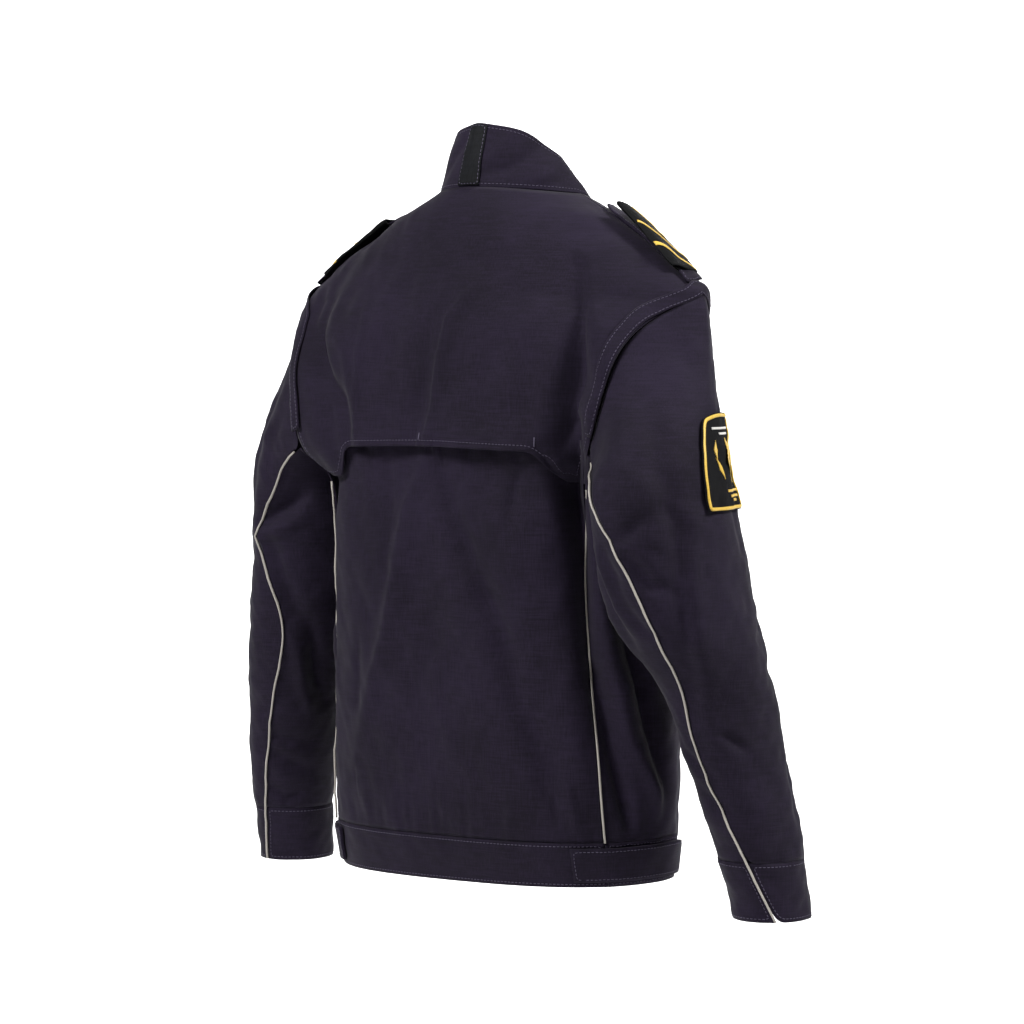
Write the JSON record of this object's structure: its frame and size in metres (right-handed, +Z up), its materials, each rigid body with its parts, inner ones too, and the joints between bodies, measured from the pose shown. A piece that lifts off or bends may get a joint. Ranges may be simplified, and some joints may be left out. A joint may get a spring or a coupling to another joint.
{
  "type": "police uniform jacket",
  "caption": "Worn-form navy police uniform jacket with stand collar, vented back yoke, shoulder straps with slides, contrast piping and banded hem.",
  "frame": {"origin": "middle of the neck opening, at the height of the collar seam at the centre back", "axes": "+X is the wearer's left, +Y is the back of the jacket, +Z is up; the hem is below the origin"},
  "size_m": [0.6959, 0.2978, 0.7612],
  "materials": {
    "navy_twill": "fine cotton blend twill, low sheen",
    "black_webbing": "woven tape, matt",
    "black_slide_cloth": "stiff woven cloth, matt",
    "patch_cloth": "woven badge cloth, matt",
    "reflective_piping": "glass bead cloth, satin"
  },
  "bodies": {
    "root": {"back_yoke": "navy_twill", "back_panel": "navy_twill", "side_left": "navy_twill", "side_right": "navy_twill", "front_left": "navy_twill", "front_right": "navy_twill", "placket": "navy_twill", "band_back": "navy_twill", "band_front_left": "navy_twill", "band_front_right": "navy_twill", "tab_left": "navy_twill", "tab_right": "navy_twill", "collar": "navy_twill", "upper_sleeve_left": "navy_twill", "upper_sleeve_right": "navy_twill", "under_sleeve_left": "navy_twill", "under_sleeve_right": "navy_twill", "cuff_left": "navy_twill", "cuff_right": "navy_twill", "armhole_welt_left": "navy_twill", "armhole_welt_right": "navy_twill", "epaulette_left": "navy_twill", "epaulette_right": "navy_twill", "collar_tape": "black_webbing", "shoulder_slide_left": "black_slide_cloth", "shoulder_slide_right": "black_slide_cloth", "sleeve_patch": "patch_cloth", "body_piping_left": "reflective_piping", "body_piping_right": "reflective_piping", "sleeve_piping_left": "reflective_piping", "sleeve_piping_right": "reflective_piping"}
  },
  "joints": []
}
